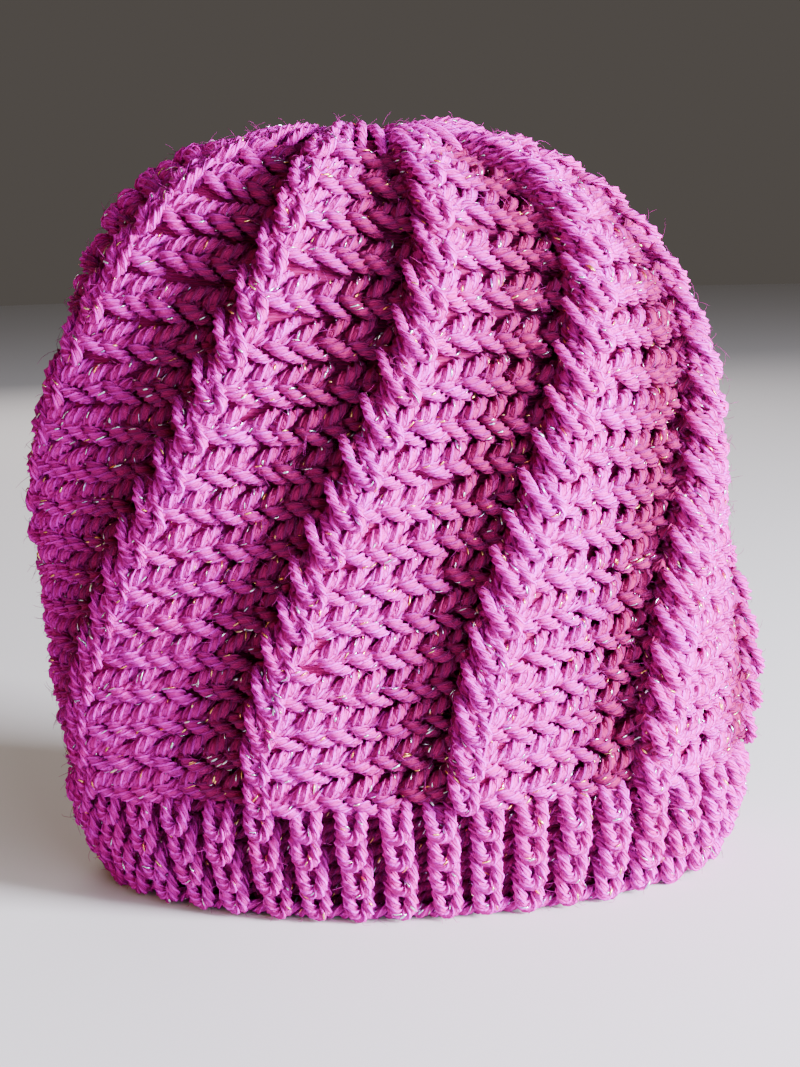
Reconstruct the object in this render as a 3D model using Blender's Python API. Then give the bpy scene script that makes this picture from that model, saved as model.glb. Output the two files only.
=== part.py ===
"""A chunky knitted winter hat with nine swirling panels over a ribbed brim.

Metres, +Z up. The hat stands on the flat underside of its brim, with its front towards -Y.
"""

import math

import bmesh
import bpy
import numpy as np

# Driving dimensions, in metres.
PANELS = 9
RIBS = 40
RIM_HEIGHT = 0.0052  # cast-on edge cord
BRIM_TOP = 0.036
FABRIC = 0.0050  # thickness of the knitted fabric
RIDGE_RISE = 0.0080  # how far a panel's leading edge stands over the next panel's sunk edge
RIDGE_CREST = 0.0020  # extra height of the large stitches along a ridge
RIDGE_WIDTH = 0.0100
RELIEF_GROWTH = 0.030  # the relief reaches its full height this far above the brim
RIB_RISE = 0.0035
RIB_SINK = 0.0012
GAP = 0.0006
CROWN_HALF_WIDTH = 0.030  # where the panels end and the gathered crown starts
LEAN = -0.050  # the hat leans to its left as it rises
FOOT_CENTRE = (0.00236, -0.00035)  # sets the footprint over the origin
SWIRL_START = -0.80  # in panels, at the brim
SWIRL_TURN = 1.30
SWIRL_TOP = 0.250
GATHER_RADIUS = 0.0085
YARN_RADIUS = 0.0015
GATHER_DROP = 0.0012

# The outline at the foot of the relief: height, half width, half depth.
OUTLINE = (
    (0.000, 0.0975, 0.0590),
    (0.015, 0.1060, 0.0622),
    (0.036, 0.1108, 0.0625),
    (0.066, 0.1125, 0.0605),
    (0.102, 0.1095, 0.0575),
    (0.141, 0.1050, 0.0540),
    (0.175, 0.0980, 0.0500),
    (0.202, 0.0860, 0.0440),
    (0.220, 0.0690, 0.0360),
    (0.231, 0.0490, 0.0260),
    (0.235, 0.0290, 0.0160),
    (0.234, 0.0060, 0.0040),
)
SHEET_ROWS = 240
SHEET_COLUMNS = 360

# Resolution of the solids.
PANEL_ROWS = 18
PANEL_COLUMNS = 6
SHOULDER_CROWDING = 1.25
CROWN_RINGS = 4
RIM_SEGMENTS = 90

YARN_PINK = (0.62, 0.10, 0.42, 1.0)
RIDGE_PINK = (0.74, 0.16, 0.55, 1.0)
BRIM_PINK = (0.55, 0.08, 0.38, 1.0)
YARN_ROUGHNESS = 0.85


def smoothstep(t):
    t = np.clip(t, 0.0, 1.0)
    return t * t * (3 - 2 * t)


def through(keys, values, at):
    """A smooth curve through the values, with the slope at each key taken from its neighbours."""
    slopes = np.gradient(values, keys)
    left = np.clip(np.searchsorted(keys, at, side="right") - 1, 0, len(keys) - 2)
    span = keys[left + 1] - keys[left]
    t = (at - keys[left]) / span
    return (
        values[left] * (1 + 2 * t) * (1 - t) ** 2
        + slopes[left] * span * t * (1 - t) ** 2
        + values[left + 1] * t * t * (3 - 2 * t)
        + slopes[left + 1] * span * t * t * (t - 1)
    )


class Sheet:
    """The hat's base surface: s runs up from the brim's edge to the crown, u once round from the front."""

    def __init__(self):
        height, width, depth = np.array(OUTLINE).T
        steps = np.hypot(np.diff(height), np.diff((width + depth) / 2))
        keys = np.concatenate([[0.0], np.cumsum(steps)])
        self.length = keys[-1]
        self.s = np.linspace(0.0, self.length, SHEET_ROWS)
        self.height = through(keys, height, self.s)
        self.width = through(keys, width, self.s)
        self.depth = through(keys, depth, self.s)
        self.girth = np.zeros(SHEET_ROWS)
        self.points = np.array([self.ring(row) for row in range(SHEET_ROWS)])
        along = np.gradient(self.points, axis=0)
        around = np.roll(self.points, -1, axis=1) - np.roll(self.points, 1, axis=1)
        normals = np.cross(around, along)
        self.normals = normals / np.linalg.norm(normals, axis=2, keepdims=True)

    def ring(self, row):
        """Points spaced evenly round the oval at this row, starting at the front."""
        turn = np.linspace(0.0, 2 * math.pi, 4 * SHEET_COLUMNS + 1)
        x = self.width[row] * np.sin(turn)
        y = -self.depth[row] * np.cos(turn)
        run = np.concatenate([[0.0], np.cumsum(np.hypot(np.diff(x), np.diff(y)))])
        self.girth[row] = run[-1]
        even = np.arange(SHEET_COLUMNS) * run[-1] / SHEET_COLUMNS
        x = np.interp(even, run, x) + LEAN * self.height[row] + FOOT_CENTRE[0]
        y = np.interp(even, run, y) + FOOT_CENTRE[1]
        return np.stack([x, y, np.full(SHEET_COLUMNS, self.height[row])], axis=1)

    def at_height(self, z):
        """s of the lowest row at this height."""
        top = int(np.argmax(self.height))
        return float(np.interp(z, self.height[:top], self.s[:top]))

    def at_width(self, half_width):
        """s of the row near the crown where the oval has this half width."""
        widest = int(np.argmax(self.width))
        return float(np.interp(-half_width, -self.width[widest:], self.s[widest:]))

    def read(self, table, s, u):
        row = np.clip(s / self.length, 0.0, 1.0) * (SHEET_ROWS - 1)
        column = (u % 1.0) * SHEET_COLUMNS
        r0 = np.minimum(row.astype(int), SHEET_ROWS - 2)
        c0 = column.astype(int) % SHEET_COLUMNS
        c1 = (c0 + 1) % SHEET_COLUMNS
        fr = (row - r0)[..., None]
        fc = (column - np.floor(column))[..., None]
        low = table[r0, c0] * (1 - fc) + table[r0, c1] * fc
        high = table[r0 + 1, c0] * (1 - fc) + table[r0 + 1, c1] * fc
        return low * (1 - fr) + high * fr

    def place(self, s, u, out):
        """Points at (s, u), raised by out along the surface's normal."""
        s, u, out = np.broadcast_arrays(*(np.asarray(v, float) for v in (s, u, out)))
        normal = self.read(self.normals, s, u)
        normal /= np.linalg.norm(normal, axis=-1, keepdims=True)
        return self.read(self.points, s, u) + normal * out[..., None]

    def height_at(self, s):
        return np.interp(s, self.s, self.height)

    def girth_at(self, s):
        return np.interp(s, self.s, self.girth)


SHEET = Sheet()
BRIM_S = SHEET.at_height(BRIM_TOP)
CROWN_S = SHEET.at_width(CROWN_HALF_WIDTH)


def swirl(s):
    """How far a panel's leading edge has turned at s, in panels."""
    rise = (SHEET.height_at(s) - BRIM_TOP) / (SWIRL_TOP - BRIM_TOP)
    return SWIRL_START + SWIRL_TURN * smoothstep(rise)


def relief_scale(s):
    """The relief grows over the first rows above the brim and flattens again over the crown."""
    grown = 0.55 + 0.45 * smoothstep((s - BRIM_S) / RELIEF_GROWTH)
    return grown * (1.0 - 0.6 * smoothstep((s - 0.72 * CROWN_S) / (0.28 * CROWN_S)))


def relief(s, across):
    """Height of a panel's outer face, from its proud leading edge (0) to its sunk trailing edge (1)."""
    return RIDGE_RISE * relief_scale(s) * (1.0 - across) ** 1.2


def ridge_share(s):
    """The part of a panel's width that its ridge takes."""
    return np.minimum(RIDGE_WIDTH / (SHEET.girth_at(s) / PANELS), 0.42)


def gap_share(s):
    return GAP / (SHEET.girth_at(s) / PANELS)


def material(name, color):
    made = bpy.data.materials.new(name)
    made.use_nodes = True
    shader = made.node_tree.nodes["Principled BSDF"]
    shader.inputs["Base Color"].default_value = color
    shader.inputs["Roughness"].default_value = YARN_ROUGHNESS
    shader.inputs["Metallic"].default_value = 0.0
    return made


def keep(name, mesh, collection, color):
    """Puts the mesh in the collection as an object with its own material, its faces turned outward."""
    data = bpy.data.meshes.new(name)
    bmesh.ops.recalc_face_normals(mesh, faces=mesh.faces)
    mesh.to_mesh(data)
    mesh.free()
    data.shade_smooth()
    data.set_sharp_from_angle(angle=math.radians(40))
    data.materials.append(material(name, color))
    made = bpy.data.objects.new(name, data)
    collection.objects.link(made)
    return made


def cap(mesh, row):
    """Closes a section with faces that run straight across it, from its outer edge to its inner one."""
    last = len(row) - 1
    for i in range(len(row) // 2 - 1):
        mesh.faces.new((row[i], row[i + 1], row[last - i - 1], row[last - i]))
    if len(row) % 2:
        middle = len(row) // 2
        mesh.faces.new((row[middle - 1], row[middle], row[middle + 1]))


def loft(sections, ring=False):
    """A body through closed sections of equal count, capped at its ends or joined into a ring."""
    mesh = bmesh.new()
    rows = [[mesh.verts.new(point) for point in section] for section in sections]
    count = len(rows[0])
    pairs = list(zip(rows, rows[1:]))
    if ring:
        pairs.append((rows[-1], rows[0]))
    for low, high in pairs:
        for i in range(count):
            j = (i + 1) % count
            mesh.faces.new((low[i], low[j], high[j], high[i]))
    if not ring:
        cap(mesh, rows[0])
        cap(mesh, rows[-1])
    return mesh


def panel_rows():
    """Rows from the brim to the crown, closer together over the shoulder, where the sheet bends most."""
    climb = 1.0 - (1.0 - np.linspace(0.0, 1.0, PANEL_ROWS)) ** SHOULDER_CROWDING
    return BRIM_S + 2 * GAP + (CROWN_S - BRIM_S - 3 * GAP) * climb


def panel_section(s, index):
    """The closed section of one panel at s: its outer face from ridge to valley, then back inside."""
    start = ridge_share(s) * 0.75 + gap_share(s) / 2
    end = 1.0 - ridge_share(s) * 0.25 - gap_share(s) / 2
    across = np.linspace(start, end, PANEL_COLUMNS)
    u = (index + swirl(s) + across) / PANELS
    outer = SHEET.place(s, u, relief(s, across))
    inner = SHEET.place(s, u, relief(s, across) - FABRIC)
    return np.concatenate([outer, inner[::-1]])


def add_panel(index, collection):
    mesh = loft([panel_section(s, index) for s in panel_rows()])
    keep(f"swirl_panel_{index + 1}", mesh, collection, YARN_PINK)


def ridge_section(s, index):
    """The closed section of a ridge: a steep face towards the valley and a rounded crest."""
    share = ridge_share(s)
    rise = RIDGE_RISE * relief_scale(s)
    crest = rise + RIDGE_CREST * relief_scale(s)
    left = -0.25 * share + gap_share(s) / 2
    right = 0.75 * share - gap_share(s) / 2
    spots = (
        (left, -FABRIC),
        (left, 0.35 * rise),
        (left + 0.18 * share, 0.92 * crest),
        (left + 0.45 * share, crest),
        (right - 0.15 * share, 0.95 * crest),
        (right, float(relief(s, right)) - 0.0002),
        (right, float(relief(s, right)) - FABRIC),
    )
    across, out = np.array(spots).T
    return SHEET.place(s, (index + swirl(s) + across) / PANELS, out)


def add_ridge(index, collection):
    mesh = loft([ridge_section(s, index) for s in panel_rows()])
    keep(f"swirl_ridge_{index + 1}", mesh, collection, RIDGE_PINK)


def brim_face(s, out_crest, out_groove):
    """Points round the brim at s, with four points to each rib."""
    u = (np.arange(4 * RIBS) / 4 + 0.125) / RIBS
    out = np.where(np.arange(4 * RIBS) % 4 < 2, out_crest, out_groove)
    return SHEET.place(s, u, out)


def add_brim(collection):
    """The ribbed band: an outer fluted face and a plain inner one, lofted as four turns of one wall."""
    low, high = SHEET.at_height(RIM_HEIGHT) + GAP / 2, BRIM_S - GAP / 2
    middle = (low + high) / 2
    walls = [brim_face(s, RIB_RISE, -RIB_SINK) for s in (low, middle, high)]
    walls += [brim_face(s, -FABRIC, -FABRIC) for s in (high, middle, low)]
    sections = np.swapaxes(np.array(walls), 0, 1)
    keep("brim_band", loft(sections, ring=True), collection, BRIM_PINK)


def add_edge_cord(collection):
    """The cast-on edge: a cord round the opening with a flat underside at z = 0."""
    u = np.arange(RIM_SEGMENTS) / RIM_SEGMENTS
    foot = SHEET.place(0.0, u, 0.0)
    outward = SHEET.place(0.0, u, 1.0) - foot
    outward[:, 2] = 0.0
    outward /= np.linalg.norm(outward, axis=1, keepdims=True)
    top = RIM_HEIGHT - GAP / 2
    profile = ((-0.0046, 0.0), (0.0014, 0.0), (0.0034, 0.35 * top), (0.0032, 0.75 * top),
               (0.0016, top), (-0.0044, top))  # fmt: skip
    sections = [
        [foot[i] + outward[i] * out + np.array([0.0, 0.0, z]) for out, z in profile]
        for i in range(RIM_SEGMENTS)
    ]
    keep("brim_edge_cord", loft(sections, ring=True), collection, BRIM_PINK)


def crown_pole(out):
    """The point on the crown's middle, raised by out."""
    return SHEET.points[-1].mean(axis=0) + np.array([0.0, 0.0, out])


def add_crown(collection):
    """The gathered crown: a shallow cap, closed at the middle where the last stitches draw together."""
    count = 2 * PANELS
    u = np.arange(count) / count
    rows = np.linspace(CROWN_S + GAP, SHEET.length, CROWN_RINGS)
    puff = RIDGE_RISE * relief_scale(CROWN_S)
    under = -0.6 * FABRIC
    outer = [SHEET.place(s, u, puff * (1 - 0.5 * i / CROWN_RINGS)) for i, s in enumerate(rows)]
    inner = [SHEET.place(s, u, under) for s in rows[::-1]]
    mesh = bmesh.new()
    rings = [[mesh.verts.new(point) for point in ring] for ring in inner + outer]
    for low, high in zip(rings, rings[1:]):
        for i in range(count):
            j = (i + 1) % count
            mesh.faces.new((low[i], low[j], high[j], high[i]))
    for ring, out in ((rings[0], under), (rings[-1], puff / 2)):
        pole = mesh.verts.new(crown_pole(out))
        for i in range(count):
            mesh.faces.new((ring[i], ring[(i + 1) % count], pole))
    keep("crown_gather", mesh, collection, YARN_PINK)


def add_gathering_yarn(collection):
    """The strand that draws the last stitches together, lying inside under the crown's middle."""
    middle = crown_pole(-0.6 * FABRIC - YARN_RADIUS - GATHER_DROP)
    bpy.ops.mesh.primitive_torus_add(
        major_radius=GATHER_RADIUS,
        minor_radius=YARN_RADIUS,
        major_segments=24,
        minor_segments=8,
        location=middle,
    )
    made = bpy.context.active_object
    made.name = made.data.name = "crown_gathering_yarn"
    made.data.shade_smooth()
    made.data.materials.append(material("crown_gathering_yarn", RIDGE_PINK))
    for holder in list(made.users_collection):
        holder.objects.unlink(made)
    collection.objects.link(made)


def main():
    for old in list(bpy.data.objects):
        bpy.data.objects.remove(old, do_unlink=True)
    hat = bpy.data.collections.new("knitted_hat")
    bpy.context.scene.collection.children.link(hat)
    add_edge_cord(hat)
    add_brim(hat)
    for index in range(PANELS):
        add_panel(index, hat)
        add_ridge(index, hat)
    add_crown(hat)
    add_gathering_yarn(hat)


main()
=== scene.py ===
"""The looks of the knitted hat: every stitch is real yarn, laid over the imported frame's sheet.

Metres, in the CAD's frame. s runs up the hat's sheet from the brim's edge to the crown, u once round it
from the front, and "across" once over a panel, from its ridge (0) to the next one (1).
"""

import math

import bpy
import numpy as np
from mathutils import Matrix, Vector


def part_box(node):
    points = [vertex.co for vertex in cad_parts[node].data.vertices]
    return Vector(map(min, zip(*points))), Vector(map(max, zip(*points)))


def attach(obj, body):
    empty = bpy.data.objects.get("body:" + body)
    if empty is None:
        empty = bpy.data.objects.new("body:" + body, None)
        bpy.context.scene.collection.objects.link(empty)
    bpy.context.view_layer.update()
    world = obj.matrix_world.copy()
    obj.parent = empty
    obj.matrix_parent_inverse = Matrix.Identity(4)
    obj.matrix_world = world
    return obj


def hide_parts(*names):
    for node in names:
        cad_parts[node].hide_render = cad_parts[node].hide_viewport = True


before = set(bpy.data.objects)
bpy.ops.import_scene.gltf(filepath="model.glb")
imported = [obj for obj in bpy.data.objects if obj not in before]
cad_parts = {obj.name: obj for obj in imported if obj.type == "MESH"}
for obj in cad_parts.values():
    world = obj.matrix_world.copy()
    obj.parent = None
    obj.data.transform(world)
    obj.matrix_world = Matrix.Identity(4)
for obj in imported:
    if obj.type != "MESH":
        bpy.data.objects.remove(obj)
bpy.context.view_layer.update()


RANDOM = np.random.default_rng(20)

# The CAD's driving dimensions, repeated.
PANELS = sum(node.startswith("swirl_panel_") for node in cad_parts)
RIBS = 40
RIM_HEIGHT = 0.0052
BRIM_TOP = 0.036
RIDGE_RISE = 0.0080
RIDGE_WIDTH = 0.0100
RIDGE_MOST = 0.42  # the widest a ridge gets, as a share of its panel
RELIEF_GROWTH = 0.030
BRIM_RELIEF = 0.55  # share of the full relief at the brim
PANEL_FALL = 1.2  # exponent of the panel's slope away from its ridge
CROWN_HALF_WIDTH = 0.030
LEAN = -0.050
FOOT_CENTRE = (0.00236, -0.00035)
SWIRL_START = -0.80
SWIRL_TURN = 1.30
SWIRL_TOP = 0.250
OUTLINE = (
    (0.000, 0.0975, 0.0590),
    (0.015, 0.1060, 0.0622),
    (0.036, 0.1108, 0.0625),
    (0.066, 0.1125, 0.0605),
    (0.102, 0.1095, 0.0575),
    (0.141, 0.1050, 0.0540),
    (0.175, 0.0980, 0.0500),
    (0.202, 0.0860, 0.0440),
    (0.220, 0.0690, 0.0360),
    (0.231, 0.0490, 0.0260),
    (0.235, 0.0290, 0.0160),
    (0.234, 0.0060, 0.0040),
)
SHEET_ROWS = 240
SHEET_COLUMNS = 360

# The relief's own shape here: it stays deeper over the shoulder than the CAD's and has deeper valleys.
CROWN_RELIEF = 0.65  # share of the full relief that is left at the crown
FADE_START = 0.80  # where it starts to fade, as a share of the way to the crown
WALL = 0.055  # share of a panel taken by the steep wall up to the next ridge
VALLEY_SINK = 0.0030  # how far the stitches sink below the CAD's panel just before the next ridge

# The yarn: four plies twisted together, closed in on each other.
YARN = 0.00225  # radius
PLY_PROFILE = (0.62, 0.98, 1.0)  # how far each of a ply's corners reaches, from the cleft over its crest
PLIES = 4
PLIED = PLY_PROFILE * PLIES  # the yarn's section
SINGLES = 8  # strands to be told apart around the yarn, two to a ply
PLY_TWIST = 84.0  # turns per metre
STITCH = 0.0077  # width of one stitch along a braid
BRAID_HEIGHT = 0.0106  # a braid's own height, where the rows are pulled apart
# Row pitch against height: packed rows above the brim, open rows over the shoulder.
ROW_PITCH = (
    (0.036, 0.0106),
    (0.080, 0.0110),
    (0.130, 0.0116),
    (0.165, 0.0128),
    (0.205, 0.0140),
    (0.240, 0.0125),
)
# Slope of the rows within a panel against height: up to the right low down, level over the shoulder.
ROW_TILT = ((0.036, 0.05), (0.100, 0.06), (0.150, 0.02), (0.200, -0.04), (0.240, -0.04))
RIB_ROWS = 4  # loops up each rib
REVERSE_PITCH = 0.0064  # between the purl rows of the fabric's reverse
SUNK = 0.0048  # how far the columns between ribs lie below the sheet
LINING = 0.0062  # how far the fabric's reverse lies below the sheet
FULLEST = 1.35  # the most that pulled-out yarn is thickened

FUZZ_FIBRES = 9000
TINSEL_LENGTHS = 6000


def smoothstep(t):
    t = np.clip(t, 0.0, 1.0)
    return t * t * (3 - 2 * t)


def unit(vectors):
    return vectors / np.linalg.norm(vectors, axis=-1, keepdims=True)


def along_table(table, at):
    keys, values = np.array(table).T
    return np.interp(at, keys, values)


def through(keys, values, at):
    """A smooth curve through the values, with the slope at each key taken from its neighbours."""
    slopes = np.gradient(values, keys)
    left = np.clip(np.searchsorted(keys, at, side="right") - 1, 0, len(keys) - 2)
    span = keys[left + 1] - keys[left]
    t = (at - keys[left]) / span
    return (
        values[left] * (1 + 2 * t) * (1 - t) ** 2
        + slopes[left] * span * t * (1 - t) ** 2
        + values[left + 1] * t * t * (3 - 2 * t)
        + slopes[left + 1] * span * t * t * (t - 1)
    )


class Sheet:
    """The hat's base surface, as in the CAD."""

    def __init__(self):
        height, width, depth = np.array(OUTLINE).T
        steps = np.hypot(np.diff(height), np.diff((width + depth) / 2))
        keys = np.concatenate([[0.0], np.cumsum(steps)])
        self.length = keys[-1]
        self.s = np.linspace(0.0, self.length, SHEET_ROWS)
        self.height = through(keys, height, self.s)
        self.width = through(keys, width, self.s)
        self.depth = through(keys, depth, self.s)
        self.girth = np.zeros(SHEET_ROWS)
        self.points = np.array([self.ring(row) for row in range(SHEET_ROWS)])
        along = np.gradient(self.points, self.s, axis=0)
        self.stretch = np.linalg.norm(along, axis=2, keepdims=True)
        around = np.roll(self.points, -1, axis=1) - np.roll(self.points, 1, axis=1)
        normals = np.cross(around, along)
        self.normals = unit(normals)

    def ring(self, row):
        """Points spaced evenly round the oval at this row, starting at the front."""
        turn = np.linspace(0.0, 2 * math.pi, 4 * SHEET_COLUMNS + 1)
        x = self.width[row] * np.sin(turn)
        y = -self.depth[row] * np.cos(turn)
        run = np.concatenate([[0.0], np.cumsum(np.hypot(np.diff(x), np.diff(y)))])
        self.girth[row] = run[-1]
        even = np.arange(SHEET_COLUMNS) * run[-1] / SHEET_COLUMNS
        x = np.interp(even, run, x) + LEAN * self.height[row] + FOOT_CENTRE[0]
        y = np.interp(even, run, y) + FOOT_CENTRE[1]
        return np.stack([x, y, np.full(SHEET_COLUMNS, self.height[row])], axis=1)

    def at_height(self, z):
        """s of the lowest row at this height."""
        top = int(np.argmax(self.height))
        return float(np.interp(z, self.height[:top], self.s[:top]))

    def at_width(self, half_width):
        """s of the row near the crown where the oval has this half width."""
        widest = int(np.argmax(self.width))
        return float(np.interp(-half_width, -self.width[widest:], self.s[widest:]))

    def read(self, table, s, u):
        """The table's value at (s, u), between its rows and columns."""
        row = np.clip(s / self.length, 0.0, 1.0) * (SHEET_ROWS - 1)
        column = (u % 1.0) * SHEET_COLUMNS
        r0 = np.minimum(row.astype(int), SHEET_ROWS - 2)
        c0 = column.astype(int) % SHEET_COLUMNS
        c1 = (c0 + 1) % SHEET_COLUMNS
        fr = (row - r0)[..., None]
        fc = (column - np.floor(column))[..., None]
        low = table[r0, c0] * (1 - fc) + table[r0, c1] * fc
        high = table[r0 + 1, c0] * (1 - fc) + table[r0 + 1, c1] * fc
        return low * (1 - fr) + high * fr

    def normal(self, s, u):
        return unit(self.read(self.normals, s, u))

    def place(self, s, u, out):
        """Points and outward normals at (s, u), raised by out."""
        s, u, out = np.broadcast_arrays(*(np.asarray(v, float) for v in (s, u, out)))
        normal = self.normal(s, u)
        return self.read(self.points, s, u) + normal * out[..., None], normal

    def fullness(self, s, u):
        """How much thicker the yarn lies where the fabric is pulled long."""
        s, u = np.broadcast_arrays(s, u)
        return np.clip(self.read(self.stretch, s, u)[..., 0], 1.0, FULLEST)

    def height_at(self, s):
        return np.interp(s, self.s, self.height)

    def girth_at(self, s):
        return np.interp(s, self.s, self.girth)


SHEET = Sheet()
BRIM_S = SHEET.at_height(BRIM_TOP)
CROWN_S = SHEET.at_width(CROWN_HALF_WIDTH)


def swirl(s):
    """How far a panel's leading edge has turned at s, in panels."""
    rise = (SHEET.height_at(s) - BRIM_TOP) / (SWIRL_TOP - BRIM_TOP)
    return SWIRL_START + SWIRL_TURN * smoothstep(rise)


def relief_scale(s):
    """The relief grows over the first rows above the brim and flattens again over the crown."""
    grown = BRIM_RELIEF + (1.0 - BRIM_RELIEF) * smoothstep((s - BRIM_S) / RELIEF_GROWTH)
    fade = smoothstep((s / CROWN_S - FADE_START) / (1.0 - FADE_START))
    return grown * (1.0 - (1.0 - CROWN_RELIEF) * fade)


def relief(s, across):
    """Height of the fabric's face: sinking over the panel, then a steep wall up to the next ridge."""
    part = across % 1.0
    slope = (1.0 - part) ** PANEL_FALL
    wall = smoothstep((part - 1.0 + WALL) / WALL)
    sink = VALLEY_SINK * smoothstep(part / 0.8) * (1.0 - wall)
    return relief_scale(s) * (RIDGE_RISE * np.maximum(slope, wall) - sink)


def panel_width(s):
    return SHEET.girth_at(s) / PANELS


def ridge_share(s):
    """The part of a panel's width that its ridge takes."""
    return np.minimum(RIDGE_WIDTH / panel_width(s), RIDGE_MOST)


def set_levels(mesh, **levels):
    """Keeps one number a vertex under each name, for the materials to read."""
    for label, values in levels.items():
        kept = mesh.attributes.new(label, "FLOAT", "POINT")
        kept.data.foreach_set("value", values.astype(np.float32))


class Strands:
    """Lengths of yarn, gathered into one mesh of closed tubes."""

    def __init__(self):
        self.points, self.quads, self.quad_uv = [], [], []
        self.caps, self.cap_uv = [], []
        self.tone, self.groove, self.depth = [], [], []
        self.lines = []
        self.count = 0

    def add(self, centres, outs, radius, depth, profile=PLIED, twist=PLY_TWIST, flat=1.0, closed=False):
        """Tubes along centres, facing outs, both (tubes, rings, 3). radius and depth are (tubes, rings).

        depth paints shade: 0 paints the yarn darkest, as where it tucks into the fabric, and 1 leaves it
        its own colour, as at the fabric's face. flat squeezes the section along outs.
        """
        tubes, rings = centres.shape[:2]
        sides = len(profile)
        self.lines.append((centres, outs, np.broadcast_to(radius, (tubes, rings)), depth))
        if closed:
            tangent = np.roll(centres, -1, axis=1) - np.roll(centres, 1, axis=1)
        else:
            tangent = np.gradient(centres, axis=1)
        tangent = unit(tangent)
        side = unit(np.cross(tangent, outs))
        up = np.cross(side, tangent)
        run = np.linalg.norm(np.roll(centres, -1, axis=1) - centres, axis=2)
        run = np.concatenate([np.zeros((tubes, 1)), np.cumsum(run, axis=1)], axis=1)
        turns = run[:, :rings] * twist
        if closed:
            whole = run[:, -1:] * twist
            turns = turns * np.round(whole) / whole
        spots = np.arange(sides) / sides * 2 * math.pi
        angle = spots + (RANDOM.uniform(0, 1, (tubes, 1)) + turns)[:, :, None] * 2 * math.pi
        reach = radius[:, :, None] * np.array(profile)
        ring = (
            centres[:, :, None, :]
            + (reach * np.cos(angle))[..., None] * side[:, :, None, :]
            + (reach * flat * np.sin(angle))[..., None] * up[:, :, None, :]
        )
        index = self.count + np.arange(tubes * rings * sides).reshape(tubes, rings, sides)
        self.count += index.size
        last = rings if closed else rings - 1
        low = index[:, :last]
        high = np.roll(index, -1, axis=1)[:, :last]
        quads = np.stack([low, high, np.roll(high, -1, axis=2), np.roll(low, -1, axis=2)], axis=-1)
        self.points.append(ring.reshape(-1, 3))
        self.quads.append(quads.reshape(-1, 4))
        length = run * 1000 + RANDOM.uniform(0, 500, (tubes, 1))
        low_u, high_u = length[:, :last, None], length[:, 1 : last + 1, None]
        around = np.arange(sides) / sides
        corner_u = np.stack(np.broadcast_arrays(low_u, high_u, high_u, low_u), axis=-1)
        corner_u = np.broadcast_to(corner_u, (tubes, last, sides, 4))
        corner_v = np.stack([around, around, around + 1 / sides, around + 1 / sides], axis=-1)
        corner_v = np.broadcast_to(corner_v, (tubes, last, sides, 4))
        self.quad_uv.append(np.stack([corner_u, corner_v], axis=-1).reshape(-1, 2))
        if not closed:
            ends = np.concatenate([index[:, 0], index[:, -1, ::-1]])
            self.caps.append(ends)
            self.cap_uv.append(np.zeros((ends.size, 2)))
        shape = (tubes, rings, sides)
        rise = np.array(profile) - min(profile)
        self.tone.append(np.broadcast_to(RANDOM.uniform(0.0, 1.0, (tubes, 1, 1)), shape).ravel())
        # 0 in a ply's clefts and 1 on its crest; the materials paint shade into the clefts by it
        self.groove.append(np.broadcast_to(rise / max(rise.max(), 1e-6), shape).ravel())
        # the painted shade level of each vertex, as given in depth
        self.depth.append(np.broadcast_to(depth[:, :, None], shape).ravel())

    def build(self, name, material, slot, *replaced):
        mesh = bpy.data.meshes.new(name)
        points = np.concatenate(self.points)
        points[:, 2] = np.maximum(points[:, 2], 0.0)  # the yarn that the hat stands on is pressed flat
        blocks = self.quads + self.caps
        totals = np.concatenate([np.full(len(block), block.shape[1]) for block in blocks])
        corners = np.concatenate([block.ravel() for block in blocks])
        mesh.vertices.add(len(points))
        mesh.vertices.foreach_set("co", points.astype(np.float32).ravel())
        mesh.loops.add(len(corners))
        mesh.loops.foreach_set("vertex_index", corners.astype(np.int32))
        mesh.polygons.add(len(totals))
        starts = np.concatenate([[0], np.cumsum(totals)[:-1]])
        mesh.polygons.foreach_set("loop_start", starts.astype(np.int32))
        mesh.polygons.foreach_set("loop_total", totals.astype(np.int32))
        mesh.update(calc_edges=True)
        layer = mesh.uv_layers.new(name="along_yarn")
        uv = np.concatenate(self.quad_uv + self.cap_uv)
        layer.data.foreach_set("uv", uv.astype(np.float32).ravel())
        tone, groove, depth = (np.concatenate(values) for values in (self.tone, self.groove, self.depth))
        # depth goes to the materials as the level of painted shade
        set_levels(mesh, tone=tone, groove=groove, depth=depth)
        mesh.shade_smooth()
        mesh.materials.append(material)
        return keep(name, mesh, slot, *replaced)


def keep(name, mesh, slot, *replaced):
    piece = bpy.data.objects.new(name, mesh)
    bpy.context.scene.collection.objects.link(piece)
    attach(piece, "root")
    if replaced:
        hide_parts(*replaced)
    return piece


# --- materials -------------------------------------------------------------


def node(tree, kind, **settings):
    made = tree.nodes.new(kind)
    for key, value in settings.items():
        if key in made.inputs:
            made.inputs[key].default_value = value
        else:
            setattr(made, key, value)
    return made


def mix_colors(tree, factor, first, second):
    """A blend of two colours, each a socket or a constant."""
    made = node(tree, "ShaderNodeMix", data_type="RGBA")
    tree.links.new(factor, made.inputs["Factor"])
    for name, color in (("A", first), ("B", second)):
        socket = [found for found in made.inputs if found.name == name and found.type == "RGBA"][0]
        if isinstance(color, tuple):
            socket.default_value = color
        else:
            tree.links.new(color, socket)
    return [found for found in made.outputs if found.type == "RGBA"][0]


def spread(tree, value, low, high, to_low, to_high):
    """value moved from the range low..high to the range to_low..to_high."""
    made = node(tree, "ShaderNodeMapRange")
    for name, number in (("From Min", low), ("From Max", high), ("To Min", to_low), ("To Max", to_high)):
        made.inputs[name].default_value = number
    tree.links.new(value, made.inputs["Value"])
    return made.outputs["Result"]


def total(tree, first, weight, second):
    """first x weight + second."""
    made = node(tree, "ShaderNodeMath", operation="MULTIPLY_ADD")
    tree.links.new(first, made.inputs[0])
    made.inputs[1].default_value = weight
    tree.links.new(second, made.inputs[2])
    return made.outputs["Value"]


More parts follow.
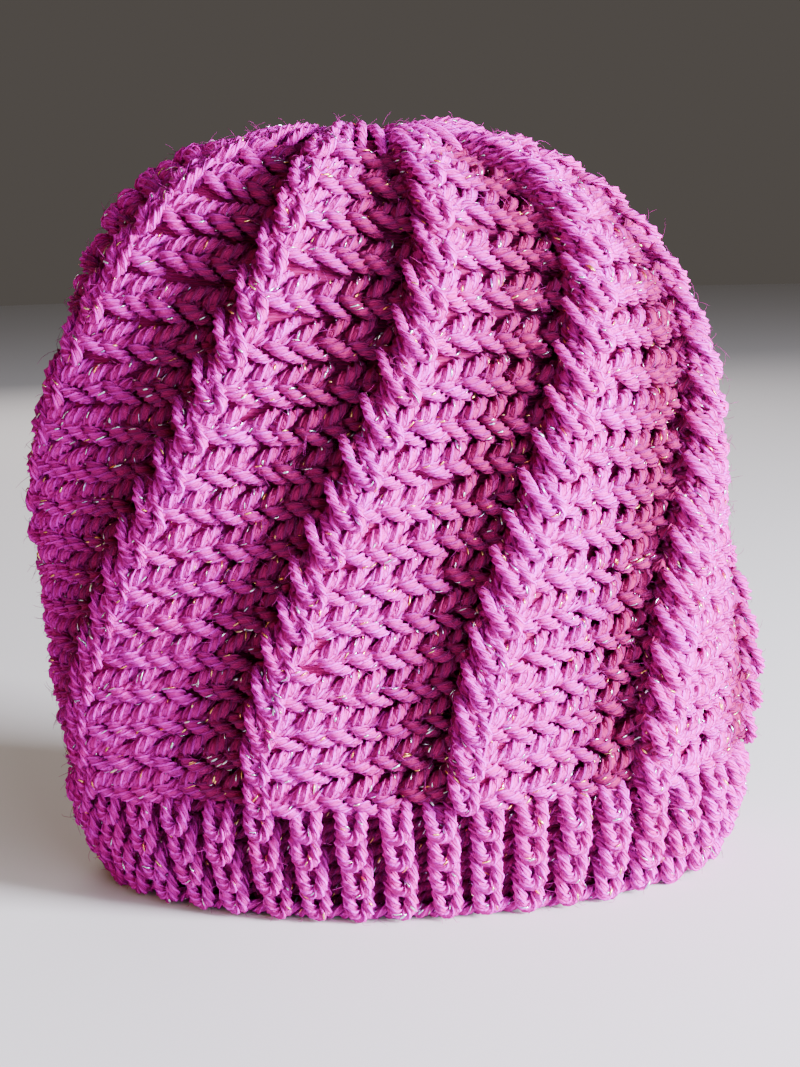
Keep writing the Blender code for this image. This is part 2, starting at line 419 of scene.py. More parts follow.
def yarn_material(name, shade, light, painted_shade, painted_cleft_shade):
    """Soft plied yarn with fine fibres.

    Its pink is mottled at random from shade to light. Painted shade turns it towards a dark colour where its
    depth level is low, as where it tucks in, and towards a darker colour between its plies and singles.
    """
    made = bpy.data.materials.new(name)
    made.use_nodes = True
    tree = made.node_tree
    link = tree.links.new
    shader = tree.nodes["Principled BSDF"]
    tone = node(tree, "ShaderNodeAttribute", attribute_name="tone")
    groove = node(tree, "ShaderNodeAttribute", attribute_name="groove")
    depth = node(tree, "ShaderNodeAttribute", attribute_name="depth")
    place = node(tree, "ShaderNodeTexCoord")
    mottle = node(tree, "ShaderNodeTexNoise", Scale=90.0, Detail=2.0)
    link(place.outputs["Object"], mottle.inputs["Vector"])
    run = node(tree, "ShaderNodeUVMap", uv_map="along_yarn")
    stretch = node(tree, "ShaderNodeMapping")
    stretch.inputs["Scale"].default_value = (0.45, 30.0, 1.0)
    link(run.outputs["UV"], stretch.inputs["Vector"])
    fibre = node(tree, "ShaderNodeTexNoise", Scale=1.0, Detail=3.0, Roughness=0.65)
    link(stretch.outputs["Vector"], fibre.inputs["Vector"])
    around = node(tree, "ShaderNodeSeparateXYZ")
    link(run.outputs["UV"], around.inputs["Vector"])
    wander = spread(tree, mottle.outputs["Fac"], 0.0, 1.0, 0.0, 3.0)
    turned = total(tree, around.outputs["Y"], SINGLES * 2 * math.pi, wander)
    wave = node(tree, "ShaderNodeMath", operation="SINE")
    link(turned, wave.inputs[0])
    single = spread(tree, wave.outputs["Value"], -1.0, 0.1, 0.0, 1.0)

    mottled = total(tree, tone.outputs["Fac"], 0.35, mottle.outputs["Fac"])
    level = total(tree, fibre.outputs["Fac"], 4.0, mottled)
    ground = mix_colors(tree, spread(tree, level, 2.15, 3.20, 0.0, 1.0), shade, light)
    # painted shade: a low depth level mixes in the painted shade colour
    painted_shade_share = spread(tree, depth.outputs["Fac"], 0.0, 0.8, 0.95, 0.0)
    sunk = mix_colors(tree, painted_shade_share, ground, painted_shade)
    # painted shade in the clefts between the plies, and below it between the singles
    between = spread(tree, groove.outputs["Fac"], 0.0, 0.8, 0.62, 0.0)
    plied = mix_colors(tree, between, sunk, painted_cleft_shade)
    singles_painted_shade = spread(tree, single, 0.0, 1.0, 0.55, 0.0)
    link(mix_colors(tree, singles_painted_shade, plied, painted_cleft_shade), shader.inputs["Base Color"])

    link(spread(tree, fibre.outputs["Fac"], 0.0, 1.0, 0.55, 0.95), shader.inputs["Roughness"])
    bump = node(tree, "ShaderNodeBump", Strength=0.9, Distance=0.0009)
    link(total(tree, single, 0.60, fibre.outputs["Fac"]), bump.inputs["Height"])
    link(bump.outputs["Normal"], shader.inputs["Normal"])
    shader.inputs["Sheen Weight"].default_value = 0.15
    shader.inputs["Sheen Roughness"].default_value = 0.5
    shader.inputs["Sheen Tint"].default_value = (1.0, 0.06, 0.70, 1.0)
    shader.inputs["Specular IOR Level"].default_value = 0.15
    shader.inputs["Specular Tint"].default_value = (1.0, 0.12, 0.80, 1.0)
    return made


def tinsel_material(name):
    """A thin metallised strand whose film shifts from silver-blue through violet and gold to copper."""
    made = bpy.data.materials.new(name)
    made.use_nodes = True
    tree = made.node_tree
    link = tree.links.new
    shader = tree.nodes["Principled BSDF"]
    tone = node(tree, "ShaderNodeAttribute", attribute_name="tone")
    place = node(tree, "ShaderNodeTexCoord")
    noise = node(tree, "ShaderNodeTexNoise", Scale=600.0, Detail=1.0)
    link(place.outputs["Object"], noise.inputs["Vector"])
    ramp = node(tree, "ShaderNodeValToRGB")
    stops = (
        (0.00, (0.70, 0.86, 1.00, 1.0)),
        (0.38, (0.92, 0.94, 1.00, 1.0)),
        (0.55, (0.60, 0.45, 1.00, 1.0)),
        (0.72, (1.00, 0.74, 0.30, 1.0)),
        (1.00, (1.00, 0.36, 0.12, 1.0)),
    )
    ramp.color_ramp.elements.remove(ramp.color_ramp.elements[1])
    ramp.color_ramp.elements[0].position, ramp.color_ramp.elements[0].color = stops[0]
    for position, color in stops[1:]:
        ramp.color_ramp.elements.new(position).color = color
    shifted = total(tree, noise.outputs["Fac"], 0.3, tone.outputs["Fac"])
    link(spread(tree, shifted, 0.15, 1.15, 0.0, 1.0), ramp.inputs["Fac"])
    link(ramp.outputs["Color"], shader.inputs["Base Color"])
    link(spread(tree, noise.outputs["Fac"], 0.3, 0.7, 0.20, 0.42), shader.inputs["Roughness"])
    shader.inputs["Metallic"].default_value = 1.0
    return made


def plain_stage_material():
    made = bpy.data.materials.new("pale_floor")
    made.use_nodes = True
    tree = made.node_tree
    shader = tree.nodes["Principled BSDF"]
    noise = node(tree, "ShaderNodeTexNoise", Scale=3.0)
    ramp = node(tree, "ShaderNodeValToRGB")
    ramp.color_ramp.elements[0].color = (0.70, 0.69, 0.67, 1.0)
    ramp.color_ramp.elements[1].color = (0.74, 0.73, 0.71, 1.0)
    tree.links.new(noise.outputs["Fac"], ramp.inputs["Fac"])
    tree.links.new(ramp.outputs["Color"], shader.inputs["Base Color"])
    shader.inputs["Roughness"].default_value = 0.9
    return made


# Each yarn's last two colours are painted shade: one for tucked-in yarn and the valleys, one for the clefts
# between plies and singles.
PANEL_YARN = yarn_material(
    "panel_yarn",
    shade=(0.85, 0.004, 0.50, 1.0),
    light=(1.00, 0.001, 0.97, 1.0),
    painted_shade=(0.11, 0.009, 0.022, 1.0),
    painted_cleft_shade=(0.42, 0.010, 0.11, 1.0),
)
# The ground fabric is the same pink yarn, painted in shade: a darker copy of the panel yarn.
GROUND_YARN_PAINTED_SHADE = yarn_material(
    "ground_yarn_painted_shade",
    shade=(0.42, 0.006, 0.12, 1.0),
    light=(0.60, 0.008, 0.28, 1.0),
    painted_shade=(0.03, 0.002, 0.008, 1.0),
    painted_cleft_shade=(0.30, 0.004, 0.06, 1.0),
)
FUZZ_YARN = yarn_material(
    "fuzz_yarn",
    shade=(0.85, 0.030, 0.50, 1.0),
    light=(1.00, 0.080, 0.90, 1.0),
    painted_shade=(0.40, 0.010, 0.18, 1.0),
    painted_cleft_shade=(0.40, 0.010, 0.18, 1.0),
)
TINSEL = tinsel_material("tinsel_film")


# --- stitches ---------------------------------------------------------------


def row_stations():
    """s of each braid's middle, from the brim to the crown."""
    found = []
    s = BRIM_S
    while True:
        pitch = float(along_table(ROW_PITCH, SHEET.height_at(s)))
        if s + pitch > CROWN_S + 0.002:
            return found
        found.append((s + pitch / 2, pitch))
        s += pitch


ROWS = row_stations()
LAST_ROW, LAST_PITCH = ROWS[-1]


def on_row(panel, s_row, across, rise, out):
    """Points and normals on one row's own line.

    They lie across the panel, rise above the row's middle, and out from the fabric's face.
    """
    tilt = along_table(ROW_TILT, SHEET.height_at(s_row))
    s = s_row + tilt * (across - 0.5) * panel_width(s_row) + rise
    u = (panel + swirl(s_row) + across) / PANELS
    return SHEET.place(s, u, relief(s_row, across) + out)


def arch(t, start, middle, end):
    """A smooth bow through three values at t = 0, 0.5 and 1."""
    return start * (2 * t - 1) * (t - 1) + middle * 4 * t * (1 - t) + end * t * (2 * t - 1)


LEG_RINGS = 10
BRAID_END = 0.99  # where a braid stops short of the next ridge, across the panel
# A braid's V stitches point left. For each leg: its reach along the row in stitches, its rise at its start,
# middle and end in braid heights, and how far out it lies there in metres.
BRAID_LEGS = (
    ((-0.08, 1.08), (-0.02, 0.27, 0.58), (-0.0014, 0.0006, -0.0040)),
    ((-0.22, 1.22), (0.06, -0.29, -0.55), (-0.0012, 0.0005, -0.0032)),
)


def painted_valley_light(s_row, across):
    """Painted light across a panel: 1 by the ridge, where the yarn keeps its own colour, falling to nearly
    0, painted shade, by the next ridge, and sooner higher up.
    """
    high = smoothstep((SHEET.height_at(s_row) - 0.08) / 0.10)
    return 1.0 - 0.98 * smoothstep((across - 0.34 + 0.18 * high) / 0.48)


def braid_legs(strands, panel, s_row, pitch):
    """One braid across a panel: V stitches, each an upper and a lower leg."""
    width = panel_width(s_row)
    start = 0.50 * ridge_share(s_row)
    count = max(1, int(round((BRAID_END - start) * width / STITCH)))
    step = (BRAID_END - start) / count
    high = min(pitch * 0.96, BRAID_HEIGHT)
    t = np.linspace(0.0, 1.0, LEG_RINGS)[None, :]
    across = start + (np.arange(count) + RANDOM.uniform(-0.15, 0.15, count))[:, None] * step
    wave = RANDOM.uniform(0, 2 * math.pi)
    for (x0, x1), rises, outs in BRAID_LEGS:
        nudge = RANDOM.normal(0.0, 0.00045, (3, count, 1))
        f = across + (x0 + (x1 - x0) * t) * step
        rise = arch(t, *rises) * high * (1 + 160 * nudge[0]) + nudge[1] + 0.0006 * np.sin(8 * f + wave)
        out = arch(t, *outs) - 0.0006 + nudge[2]
        centres, normals = on_row(panel, s_row, f, rise, out)
        full = SHEET.fullness(s_row, (panel + swirl(s_row) + f) / PANELS)
        swell = 0.68 + 0.38 * np.sin(math.pi * t) ** 0.7
        radius = YARN * full * swell * RANDOM.uniform(0.88, 1.12, (count, 1))
        # depth is painted shade: darker at a leg's ends, where it tucks in, and towards the next ridge
        depth = (0.40 + 0.60 * np.sin(math.pi * t)) * painted_valley_light(s_row, f)
        strands.add(centres, normals, radius, depth)


def row_core(strands, panel, s_row, pitch):
    """The strand a braid is worked over, which fills it behind its V stitches."""
    f = np.linspace(0.0, 1.02, 26)[None, :]
    rise = 0.0004 * np.sin(14 * f + RANDOM.uniform(0, 6))
    # light is the painted light level: it lifts the core where the panel is lit and paints the core in shade
    # towards the next ridge
    light = painted_valley_light(s_row, f)
    centres, normals = on_row(panel, s_row, f, rise, -0.0034 + 0.0019 * light)
    size = 0.24 * min(pitch, BRAID_HEIGHT) * SHEET.fullness(s_row, (panel + swirl(s_row) + f) / PANELS)
    strands.add(centres, normals, size, 0.75 * light)


LOOP_RINGS = 17


def loop_line(t, nose, pinch):
    """A U-shaped stitch: x in half widths, y in heights, and how proud it stands, for t from end to end.

    nose is how proud its lower bend stands, next to its legs. pinch draws its two ends together.
    """
    bend = math.pi * np.clip(t * 1.5 - 0.25, 0.0, 1.0)
    leg = np.abs(2 * t - 1)
    x = -np.cos(bend) * (1.0 - pinch * smoothstep((leg - 0.55) / 0.45))
    y = -0.46 * np.sin(bend) + 0.62 * np.clip((leg - 0.45) / 0.55, 0.0, 1.0)
    proud = (nose + (1.0 - nose) * smoothstep(leg / 0.4)) * (1.0 - smoothstep((leg - 0.4) / 0.6) ** 1.2)
    return x, y, proud


def add_loops(strands, place, half_width, height, low, high, thickness, nose, pinch):
    """Loops at many places at once, from low at their ends out to high.

    place(x, y, out) gives points and normals for offsets in metres.
    """
    t = np.linspace(0.0, 1.0, LOOP_RINGS)[None, :]
    x, y, proud = loop_line(t, nose, pinch)
    centres, normals = place(x * half_width, y * height, low + (high - low) * proud)
    count = centres.shape[0]
    swell = 0.74 + 0.30 * proud ** 0.5
    radius = thickness * swell * RANDOM.uniform(0.93, 1.07, (count, 1))
    # painted shade: each loop is darker towards its ends, where it tucks in
    depth = 0.15 + 0.85 * proud + np.zeros((count, 1))
    strands.add(centres, normals, radius, depth)


LOOP_LEAN = -0.75  # how much the ridge's loops lean back against its own slant
RIDGE_MIDDLE = 0.22  # where a ridge's loops are centred, in ridge widths from the panel's start
# The strands inside a ridge: place in ridge widths, height as a share of the ridge's, sink below it in
# metres, and thickness in yarns. The second and third fill its steep side.
RIDGE_CORES = (
    (RIDGE_MIDDLE, 1.00, -0.0026, 1.40),
    (-0.06, 0.62, -0.0022, 1.15),
    (-0.16, 0.20, -0.0022, 1.00),
)


def ridge_loops(strands, panel, rows):
    """The column of large loops along a panel's leading edge, one to each row."""
    for s_row, pitch in rows:
        share = float(ridge_share(s_row))
        width = float(panel_width(s_row))
        slant = float(swirl(s_row + 0.002) - swirl(s_row - 0.002)) / 0.004 * width
        jitter = RANDOM.uniform(-0.0005, 0.0005, 2)

        def place(x, y, out):
            lean = LOOP_LEAN * slant * y
            across = RIDGE_MIDDLE * share + (x + lean + jitter[0]) / width
            s = s_row + y + jitter[1]
            u = (panel + swirl(s_row) + across) / PANELS
            return SHEET.place(s, u, RIDGE_RISE * relief_scale(s_row) + out)

        add_loops(
            strands,
            place,
            half_width=0.30 * share * width,
            height=pitch * 1.16,
            low=-0.0040,
            high=0.0004,
            thickness=YARN * 0.92,
            nose=0.85,
            pinch=0.25,
        )


def ridge_core(strands, panel):
    """The strands packed inside a ridge and down its steep side."""
    rings = 150
    s = np.linspace(BRIM_S + 0.002, CROWN_S, rings)[None, :]
    for across, lift, sink, size in RIDGE_CORES:
        wander = 0.0004 * np.sin(s * 900 + RANDOM.uniform(0, 6))
        u = (panel + swirl(s) + across * ridge_share(s) + wander / panel_width(s)) / PANELS
        centres, normals = SHEET.place(s, u, RIDGE_RISE * relief_scale(s) * lift + sink)
        radius = YARN * size * np.ones((1, rings))
        radius[:, [0, -1]] *= 0.5
        # painted shade: the strands lower down the ridge's steep side are darker
        strands.add(centres, normals, radius, np.full((1, rings), 0.05 + 0.5 * lift))


def rib_loops(strands):
    """The ribs of the brim: upright columns of loops."""
    low = SHEET.at_height(RIM_HEIGHT) - 0.001
    pitch = (BRIM_S + 0.001 - low) / RIB_ROWS
    columns = np.arange(RIBS) + 0.5
    for row in range(RIB_ROWS):
        s_row = low + (row + 0.5) * pitch
        girth = SHEET.girth_at(s_row) / RIBS
        wander = RANDOM.uniform(-0.0006, 0.0006, (2, RIBS, 1))

        def place(x, y, out):
            s = s_row + y + wander[0]
            u = (columns[:, None] + (x + wander[1]) / girth) / RIBS
            return SHEET.place(s, u, out + 0 * s)

        add_loops(
            strands,
            place,
            half_width=0.235 * girth,
            height=pitch * 1.30,
            low=-0.0046,
            high=0.0032,
            thickness=YARN * 0.98,
            nose=1.0,
            pinch=-0.05,
        )


def rib_cores(strands):
    """The strands that fill the ribs behind their loops."""
    rings = 12
    t = np.linspace(0.0, 1.0, rings)[None, :]
    s = SHEET.at_height(RIM_HEIGHT) + (BRIM_S - SHEET.at_height(RIM_HEIGHT)) * t
    u = (np.arange(RIBS)[:, None] + 0.5 + 0 * t) / RIBS
    centres, normals = SHEET.place(s, u, -0.0022 + 0 * u)
    shape = (RIBS, rings)
    # painted shade: the cores behind the rib loops are darkened
    strands.add(centres, normals, np.full(shape, YARN * 1.35), np.full(shape, 0.36))


def purl_bars(strands):
    """Short strands across the sunk columns between ribs."""
    low = SHEET.at_height(RIM_HEIGHT) - 0.0025
    bars = 2 * RIB_ROWS + 1
    rings = 7
    pitch = (BRIM_S - low) / bars
    t = np.linspace(0.0, 1.0, rings)[None, :]
    for row in range(bars):
        s = low + (row + 0.4) * pitch + RANDOM.uniform(-0.001, 0.001, (RIBS, 1)) + 0.003 * (t - 0.5)
        u = (np.arange(RIBS)[:, None] + (t - 0.5) * 0.62) / RIBS
        centres, normals = SHEET.place(s, u, -0.0046 + 0.0012 * (2 * t - 1) ** 2)
        shape = (RIBS, rings)
        # painted shade: the bars in the sunk columns between ribs are dark
        strands.add(centres, normals, np.full(shape, YARN * 0.8), np.full(shape, 0.12))


def make_brim():
    strands = Strands()
    rib_loops(strands)
    rib_cores(strands)
    purl_bars(strands)
    strands.build("brim_ribs", PANEL_YARN, "yarn", "brim_band")
    return strands.lines


def make_edge():
    """The cast-on edge: two strands twisted round each other along the opening."""
    strands = Strands()
    rings = 900
    twists = 54
    radius = 0.00130
    spiral = 0.00115  # from the pair's axis to each strand's own
    lift = 0.00255  # of the pair's axis above the floor
    turn = np.arange(rings) / rings
    u = turn[None, :] + np.zeros((2, 1))
    phase = 2 * math.pi * twists * turn[None, :] + np.array([[0.0], [math.pi]])
    foot, normal = SHEET.place(0.0 * u, u, 0.0 * u)
    normal[..., 2] = 0.0
    normal = unit(normal)
    centres = foot + normal * (0.0010 + spiral * 1.1 * np.cos(phase))[..., None]
    centres[..., 2] += lift + spiral * np.sin(phase)
    # painted shade: each strand is darker where it turns under the other
    strands.add(centres, normal, np.full(u.shape, radius), 0.55 + 0.45 * np.cos(phase), closed=True)
    strands.build("cast_on_edge", PANEL_YARN, "yarn", "brim_edge_cord")
    return strands.lines


def make_panels():
    lines = []
    for panel in range(PANELS):
        strands = Strands()
        for s_row, pitch in ROWS:
            row_core(strands, panel, s_row, pitch)
            braid_legs(strands, panel, s_row, pitch)
        strands.build(f"panel_stitches_{panel + 1}", PANEL_YARN, "yarn", f"swirl_panel_{panel + 1}")
        lines += strands.lines
        strands = Strands()
        ridge_core(strands, panel)
        ridge_loops(strands, panel, ROWS)
        strands.build(f"ridge_stitches_{panel + 1}", PANEL_YARN, "yarn", f"swirl_ridge_{panel + 1}")
        lines += strands.lines
    return lines


def crown_height(t):
    """Height of the crown's face, for t from the last row to the middle."""
    return RIDGE_RISE * relief_scale(CROWN_S) * (1 - 0.55 * t ** 2)


def make_crown():
    """The last stitches, drawn together in radial folds."""
    strands = Strands()
    folds = 4 * PANELS
    t = np.linspace(0.0, 1.0, 14)[None, :]
    start = LAST_ROW + LAST_PITCH * 0.05
    wander = RANDOM.normal(0.0, 1.0, (4, folds, 1))
    s = start + (SHEET.length - start) * (t + 0.02 * wander[0] * t * (1 - t))
    bow = np.sin(math.pi * t)
    sway = 0.16 * np.sin(4 * t) + 0.10 * wander[1] * bow + 0.08 * wander[2] * np.sin(2 * math.pi * t)
    u = (np.arange(folds)[:, None] + sway) / folds
    tuck = (1 - t) ** 5  # each fold starts inside the last row
    height = 0.0011 * wander[3] * bow
    out = crown_height(t) - 0.0014 + height + 0.0018 * bow - 0.0052 * tuck
    centres, normals = SHEET.place(s, u, out)
    taper = (1.0 - 0.45 * t) * (1.0 - 0.40 * tuck)
    radius = YARN * 1.18 * taper * RANDOM.uniform(0.88, 1.12, (folds, 1))
    # painted shade: the folds darken towards the crown's middle
    strands.add(centres, normals, radius, 0.9 - 0.5 * t ** 2 + 0 * height)
    strands.build("crown_folds", PANEL_YARN, "yarn", "crown_gather")
    return strands.lines


def make_gathering_strand():
    strands = Strands()
    low, high = (np.array(corner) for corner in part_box("crown_gathering_yarn"))
    middle, reach = (low + high) / 2, (high - low) / 2
    turn = np.linspace(0, 2 * math.pi, 120, endpoint=False)
    ring = reach[0] - reach[2]
    centres = middle + np.stack([ring * np.cos(turn), ring * np.sin(turn), 0 * turn], axis=1)
    outs = np.stack([np.cos(turn), np.sin(turn), 0 * turn], axis=1)
    shape = (1, len(turn))
    # a little painted shade on the gathering strand
    strands.add(centres[None], outs[None], np.full(shape, reach[2] * 0.9), np.full(shape, 0.8), closed=True)
    strands.build("gathering_strand", PANEL_YARN, "yarn", "crown_gathering_yarn")


GROUND_RIPPLE = 0.0085  # from bump to bump up the ground fabric
GROUND_STITCHES = 90  # bumps round it
GROUND_UV = (540.0, 1000 / 9)  # lengths of the fibre pattern once round the hat, and in a metre up it
FOLDED_PAINTED_LIGHT = 0.35  # painted light level of the ground under the crown's folds and on its reverse, low enough to paint them half in shade


def ground_layers(s, u):
    """Heights of the ground fabric's face and reverse, and the painted light level of its face: low values
    paint it in shade.
    """
    across = (PANELS * u - swirl(s)) % 1.0
    height = SHEET.height_at(s)
    brim = 1.0 - smoothstep((s - BRIM_S + 0.003) / 0.006)
    ripple = 0.0005 * np.cos(2 * math.pi * s / GROUND_RIPPLE) * np.cos(2 * math.pi * GROUND_STITCHES * u)
    open_side = smoothstep((across - 0.15) / 0.45)
    packed = (1 - open_side) * (1 - smoothstep((height - 0.10) / 0.06))
    behind = 0.0030 + 0.0012 * open_side - 0.0013 * packed
    hem = 1.0 - smoothstep((s - s[0]) / 0.003)  # drawn together just above the cast-on edge
    face = (relief(s, across) - behind + ripple) * (1 - brim) - SUNK * brim + 0.0036 * hem
    crown = smoothstep((s - LAST_ROW - 0.004) / 0.006)
    closing = np.clip((s - LAST_ROW) / (SHEET.length - LAST_ROW), 0.0, 1.0)
    face = face * (1 - crown) + (crown_height(closing) - 0.0030) * crown
    lining = relief(s, across) * 0.5 * (1 - brim) - LINING + 0.8 * ripple + 0.0028 * hem
    # painted shade: the ground is darker on the open side of each panel, higher up, and between the ribs
    depth = 0.80 * (1 - open_side) * (1 - 0.4 * smoothstep((height - 0.13) / 0.05)) * (1 - brim) + 0.08
    return face, lining, depth * (1 - crown) + FOLDED_PAINTED_LIGHT * crown


def make_ground():
    """The fabric behind the stitches: one closed shell that follows the relief, with purl bumps inside."""
    columns, rows = 30 * PANELS, 90
    s = np.linspace(SHEET.at_height(0.0015), SHEET.length, rows)[:, None]
    u = np.arange(columns)[None, :] / columns
    face, lining, depth = ground_layers(s, u)
    outer, _ = SHEET.place(s, u, face)
    inner, _ = SHEET.place(s, u, lining)
    mesh = bpy.data.meshes.new("ground_fabric")
    grid = np.arange(rows * columns).reshape(rows, columns)
    right = np.roll(grid, -1, axis=1)
    quads = np.stack([grid[:-1], right[:-1], right[1:], grid[1:]], axis=-1).reshape(-1, 4)
    inside = quads[:, ::-1] + grid.size
    rim = np.stack([grid[0] + grid.size, right[0] + grid.size, right[0], grid[0]], axis=-1)
    top = np.stack([grid[-1], right[-1], right[-1] + grid.size, grid[-1] + grid.size], axis=-1)
    faces = np.concatenate([quads, inside, rim, top])
    points = np.concatenate([outer.reshape(-1, 3), inner.reshape(-1, 3)])
    mesh.from_pydata(points.tolist(), [], faces.tolist())
    even = np.ones(len(points))
    # the face gets the painted shade from ground_layers, the reverse the folded level
    both = np.concatenate([depth.ravel(), np.full(depth.size, FOLDED_PAINTED_LIGHT)])
    set_levels(mesh, tone=0.4 * even, groove=0.8 * even, depth=both)
    layer = mesh.uv_layers.new(name="along_yarn")
    corner = np.zeros(len(mesh.loops), np.int32)
    mesh.loops.foreach_get("vertex_index", corner)
    uv = np.stack([np.tile(u.ravel(), rows), np.repeat(s.ravel(), columns)], axis=1) * GROUND_UV
    layer.data.foreach_set("uv", np.tile(uv, (2, 1))[corner].astype(np.float32).ravel())
    mesh.shade_smooth()
    mesh.materials.append(GROUND_YARN_PAINTED_SHADE)
    keep("ground_fabric", mesh, "yarn")


PLAIN_TUBE = (1.0, 1.0, 1.0)  # sections of a loose fibre and of the tinsel
STRIP = (1.0, 1.0, 1.0, 1.0)
FIBRE = 0.000075  # radius of a loose fibre


def pick_spots(lines, count, rings):
    """count runs of neighbouring rings, picked over all the yarn that lies near the surface."""
    weights = np.array([line[2].shape[0] * line[2].shape[1] for line in lines], float)
    shares = RANDOM.multinomial(count, weights / weights.sum())
    points, outs, radii = [], [], []
    for (centres, normals, radius, _), share in zip(lines, shares):
        tube = RANDOM.integers(0, radius.shape[0], share)
        first = RANDOM.integers(0, radius.shape[1] - rings + 1, share)
        ring = first[:, None] + np.arange(rings)
        points.append(centres[tube[:, None], ring])
        outs.append(normals[tube[:, None], ring])
        radii.append(radius[tube[:, None], ring])
    return np.concatenate(points), np.concatenate(outs), np.concatenate(radii)


def make_fuzz(lines, count):
    """Loose fibres that stand off the yarn, each bent from one heading towards another."""
    points, outs, radii = pick_spots(lines, count, 2)
    out = unit(outs[:, 0])
    along = unit(points[:, 1] - points[:, 0])
    side = np.cross(along, out)
    turn = RANDOM.uniform(0, 2 * math.pi, (count, 1))
    heading = along * np.cos(turn) + side * np.sin(turn)
    later = turn + RANDOM.normal(0, 1.2, (count, 1))
    bend = along * np.cos(later) + side * np.sin(later)
    t = np.linspace(0, 1, 4)[None, :, None]
    length = RANDOM.uniform(0.0018, 0.0066, (count, 1, 1))
    lift = RANDOM.uniform(0.0002, 0.0013, (count, 1, 1)) + 0.0016 * RANDOM.random((count, 1, 1)) ** 5
    start = points[:, 0] + out * radii[:, :1] * 0.8
    centres = start[:, None] + length * (t * heading[:, None] * 0.7 + t ** 2 * bend[:, None] * 0.4)
    centres = centres + out[:, None] * lift * (1 - (1 - t) ** 2) * 1.6
    centres[..., 2] = np.maximum(centres[..., 2], 0.0004 + 0.1 * np.abs(centres[..., 2]))
    strands = Strands()
    outs = np.broadcast_to(out[:, None], centres.shape)
    thin = np.full((count, 4), FIBRE) * np.array([1, 1, 0.9, 0.5])
    strands.add(centres, outs, thin, np.ones((count, 4)), profile=PLAIN_TUBE, twist=0.0)
    strands.build("yarn_fuzz", FUZZ_YARN, "yarn")


def make_tinsel(lines, count):
    """Short lengths of metallised strand that show between the plies."""
    points, outs, radii = pick_spots(lines, count, 2)
    along = unit(points[:, 1] - points[:, 0])
    side = unit(np.cross(along, outs[:, 0]))
    up = np.cross(side, along)
    t = np.linspace(0.0, 1.0, 4)[None, :]
    reach = RANDOM.uniform(0.0009, 0.0024, (count, 1)) * t
    angle = RANDOM.normal(0.0, 0.8, (count, 1)) + math.pi / 2 + reach * PLY_TWIST * 2 * math.pi
    way = side[:, None] * np.cos(angle)[..., None] + up[:, None] * np.sin(angle)[..., None]
    centres = points[:, :1] + along[:, None] * reach[..., None] + way * radii[:, :1, None]
    strands = Strands()
    wide = RANDOM.uniform(0.00020, 0.00042, (count, 1)) * np.array([[0.6, 1.0, 1.0, 0.6]])
    facing = unit(way + 0.6 * RANDOM.normal(0, 1, (count, 1, 3)))
    strands.add(centres, facing, wide, np.ones((count, 4)), profile=STRIP, twist=0.0, flat=0.3)
    strands.build("tinsel_strands", TINSEL, "tinsel")


def make_reverse():
    """The reverse of the fabric, seen through the opening: rows of small purl bumps."""
    strands = Strands()
    stitches = 10 * PANELS
    rings = 3 * stitches
    u = np.arange(rings)[None, :] / rings
    beat = 2 * math.pi * stitches * u
    bump = 0.5 + 0.5 * np.cos(beat)
    low = SHEET.at_height(RIM_HEIGHT)
    for s_row in np.arange(low + 0.002, SHEET.length - 0.016, REVERSE_PITCH):
        across = (PANELS * u - swirl(s_row)) % 1.0
        s = s_row + 0.0014 * np.sin(beat + RANDOM.uniform(0, 6))
        above = smoothstep((s_row - BRIM_S) / 0.006)
        out = relief(s_row, across) * 0.5 * above - LINING - 0.0008 * bump
        centres, normals = SHEET.place(s, u, out)
        radius = 0.0013 + 0.0004 * bump
        # painted shade: darker between the purl bumps
        strands.add(centres, normals, radius, 0.45 + 0.45 * bump, profile=(1.0,) * 5, closed=True)
    strands.build("reverse_rows", PANEL_YARN, "yarn")


make_ground()
make_reverse()
yarn_lines = make_edge() + make_brim() + make_panels() + make_crown()
make_gathering_strand()
make_fuzz(yarn_lines, FUZZ_FIBRES)
make_tinsel(yarn_lines, TINSEL_LENGTHS)


# --- stage, light and camera ------------------------------------------------

CAMERA_DISTANCE = 0.603
CAMERA_HEIGHT = 0.2172
CAMERA_AZIMUTH = math.radians(-2.19)
CAMERA_PITCH = math.radians(-10.10)
CAMERA_ROLL = math.radians(1.62)
FRAME_HEIGHTS = 1856.1 / 1067  # focal length in image heights
SENSOR = 24.0
LIT_POINT = Vector((0, 0, 0.12))  # the middle of the hat


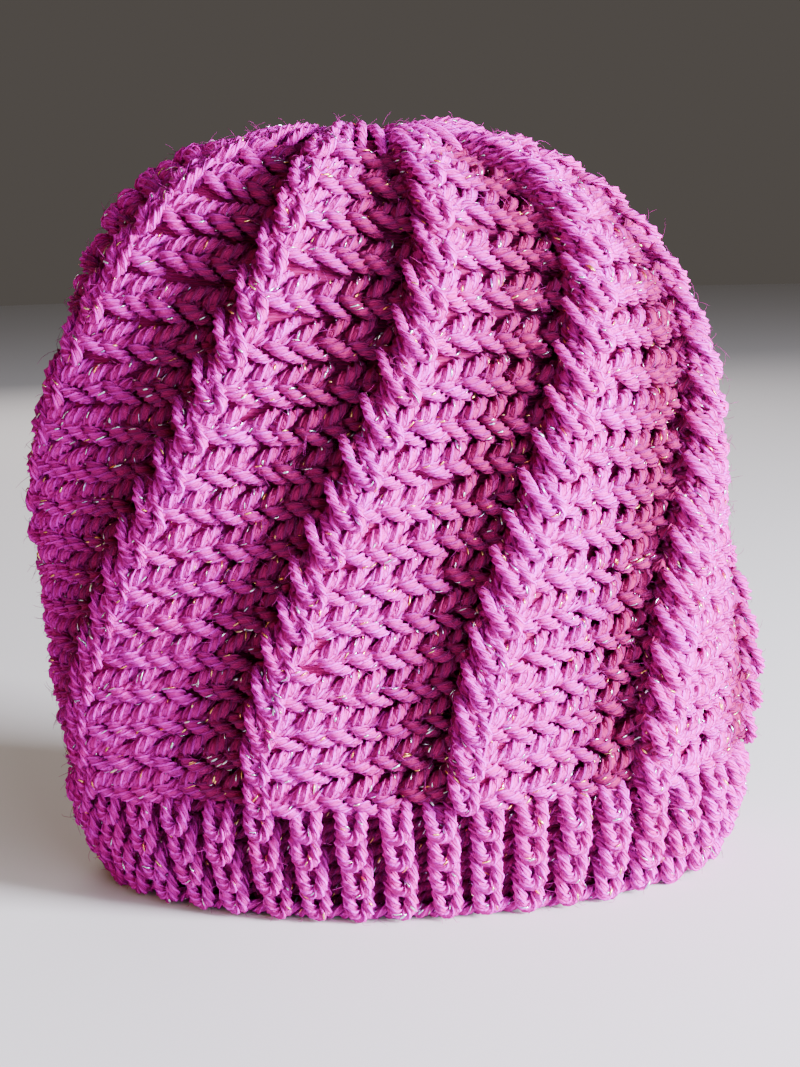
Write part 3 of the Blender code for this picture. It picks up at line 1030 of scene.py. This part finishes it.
def add_camera():
    data = bpy.data.cameras.new("photo_view")
    data.sensor_fit = "VERTICAL"
    data.sensor_height = SENSOR
    data.lens = FRAME_HEIGHTS * SENSOR
    data.clip_start = 0.01
    camera = bpy.data.objects.new("photo_view", data)
    bpy.context.scene.collection.objects.link(camera)
    eye = Vector((
        CAMERA_DISTANCE * math.sin(CAMERA_AZIMUTH),
        -CAMERA_DISTANCE * math.cos(CAMERA_AZIMUTH),
        CAMERA_HEIGHT,
    ))
    ahead = Vector((
        -math.sin(CAMERA_AZIMUTH) * math.cos(CAMERA_PITCH),
        math.cos(CAMERA_AZIMUTH) * math.cos(CAMERA_PITCH),
        math.sin(CAMERA_PITCH),
    ))
    right = ahead.cross(Vector((0, 0, 1))).normalized()
    up = right.cross(ahead)
    turned_right = right * math.cos(CAMERA_ROLL) - up * math.sin(CAMERA_ROLL)
    turned_up = right * math.sin(CAMERA_ROLL) + up * math.cos(CAMERA_ROLL)
    turn = Matrix((turned_right, turned_up, -ahead)).transposed().to_4x4()
    camera.matrix_world = Matrix.Translation(eye) @ turn
    bpy.context.scene.camera = camera


def add_light(name, azimuth, elevation, distance, size, power, color):
    """A soft square light aimed at the hat. Azimuth 0 is in front of it and 90 on its right, in degrees."""
    data = bpy.data.lights.new(name, "AREA")
    data.size = size
    data.energy = power
    data.color = color
    light = bpy.data.objects.new(name, data)
    bpy.context.scene.collection.objects.link(light)
    a, e = math.radians(azimuth), math.radians(elevation)
    offset = Vector((math.sin(a) * math.cos(e), -math.cos(a) * math.cos(e), math.sin(e))) * distance
    light.location = LIT_POINT + offset
    light.rotation_euler = (-offset).to_track_quat("-Z", "Y").to_euler()
    light.visible_camera = False


def add_stage():
    bpy.ops.mesh.primitive_circle_add(vertices=96, radius=4.0, fill_type="NGON", location=(0, 0, -0.0002))
    floor = bpy.context.active_object
    floor.name = "floor"
    floor.data.materials.append(plain_stage_material())
    world = bpy.data.worlds.new("studio")
    bpy.context.scene.world = world
    world.use_nodes = True
    world.node_tree.nodes["Background"].inputs["Color"].default_value = (0.86, 0.76, 0.68, 1.0)
    world.node_tree.nodes["Background"].inputs["Strength"].default_value = 0.10


add_camera()
add_stage()
add_light("key", azimuth=63, elevation=11, distance=1.3, size=0.42, power=148, color=(0.86, 0.86, 1.0))
add_light("window", azimuth=34, elevation=16, distance=1.8, size=1.4, power=38, color=(0.87, 0.88, 1.0))
add_light("fill", azimuth=-50, elevation=16, distance=1.6, size=1.0, power=6, color=(1.0, 0.74, 0.24))
add_light("back", azimuth=190, elevation=27, distance=1.6, size=0.9, power=11, color=(1.0, 0.91, 0.90))
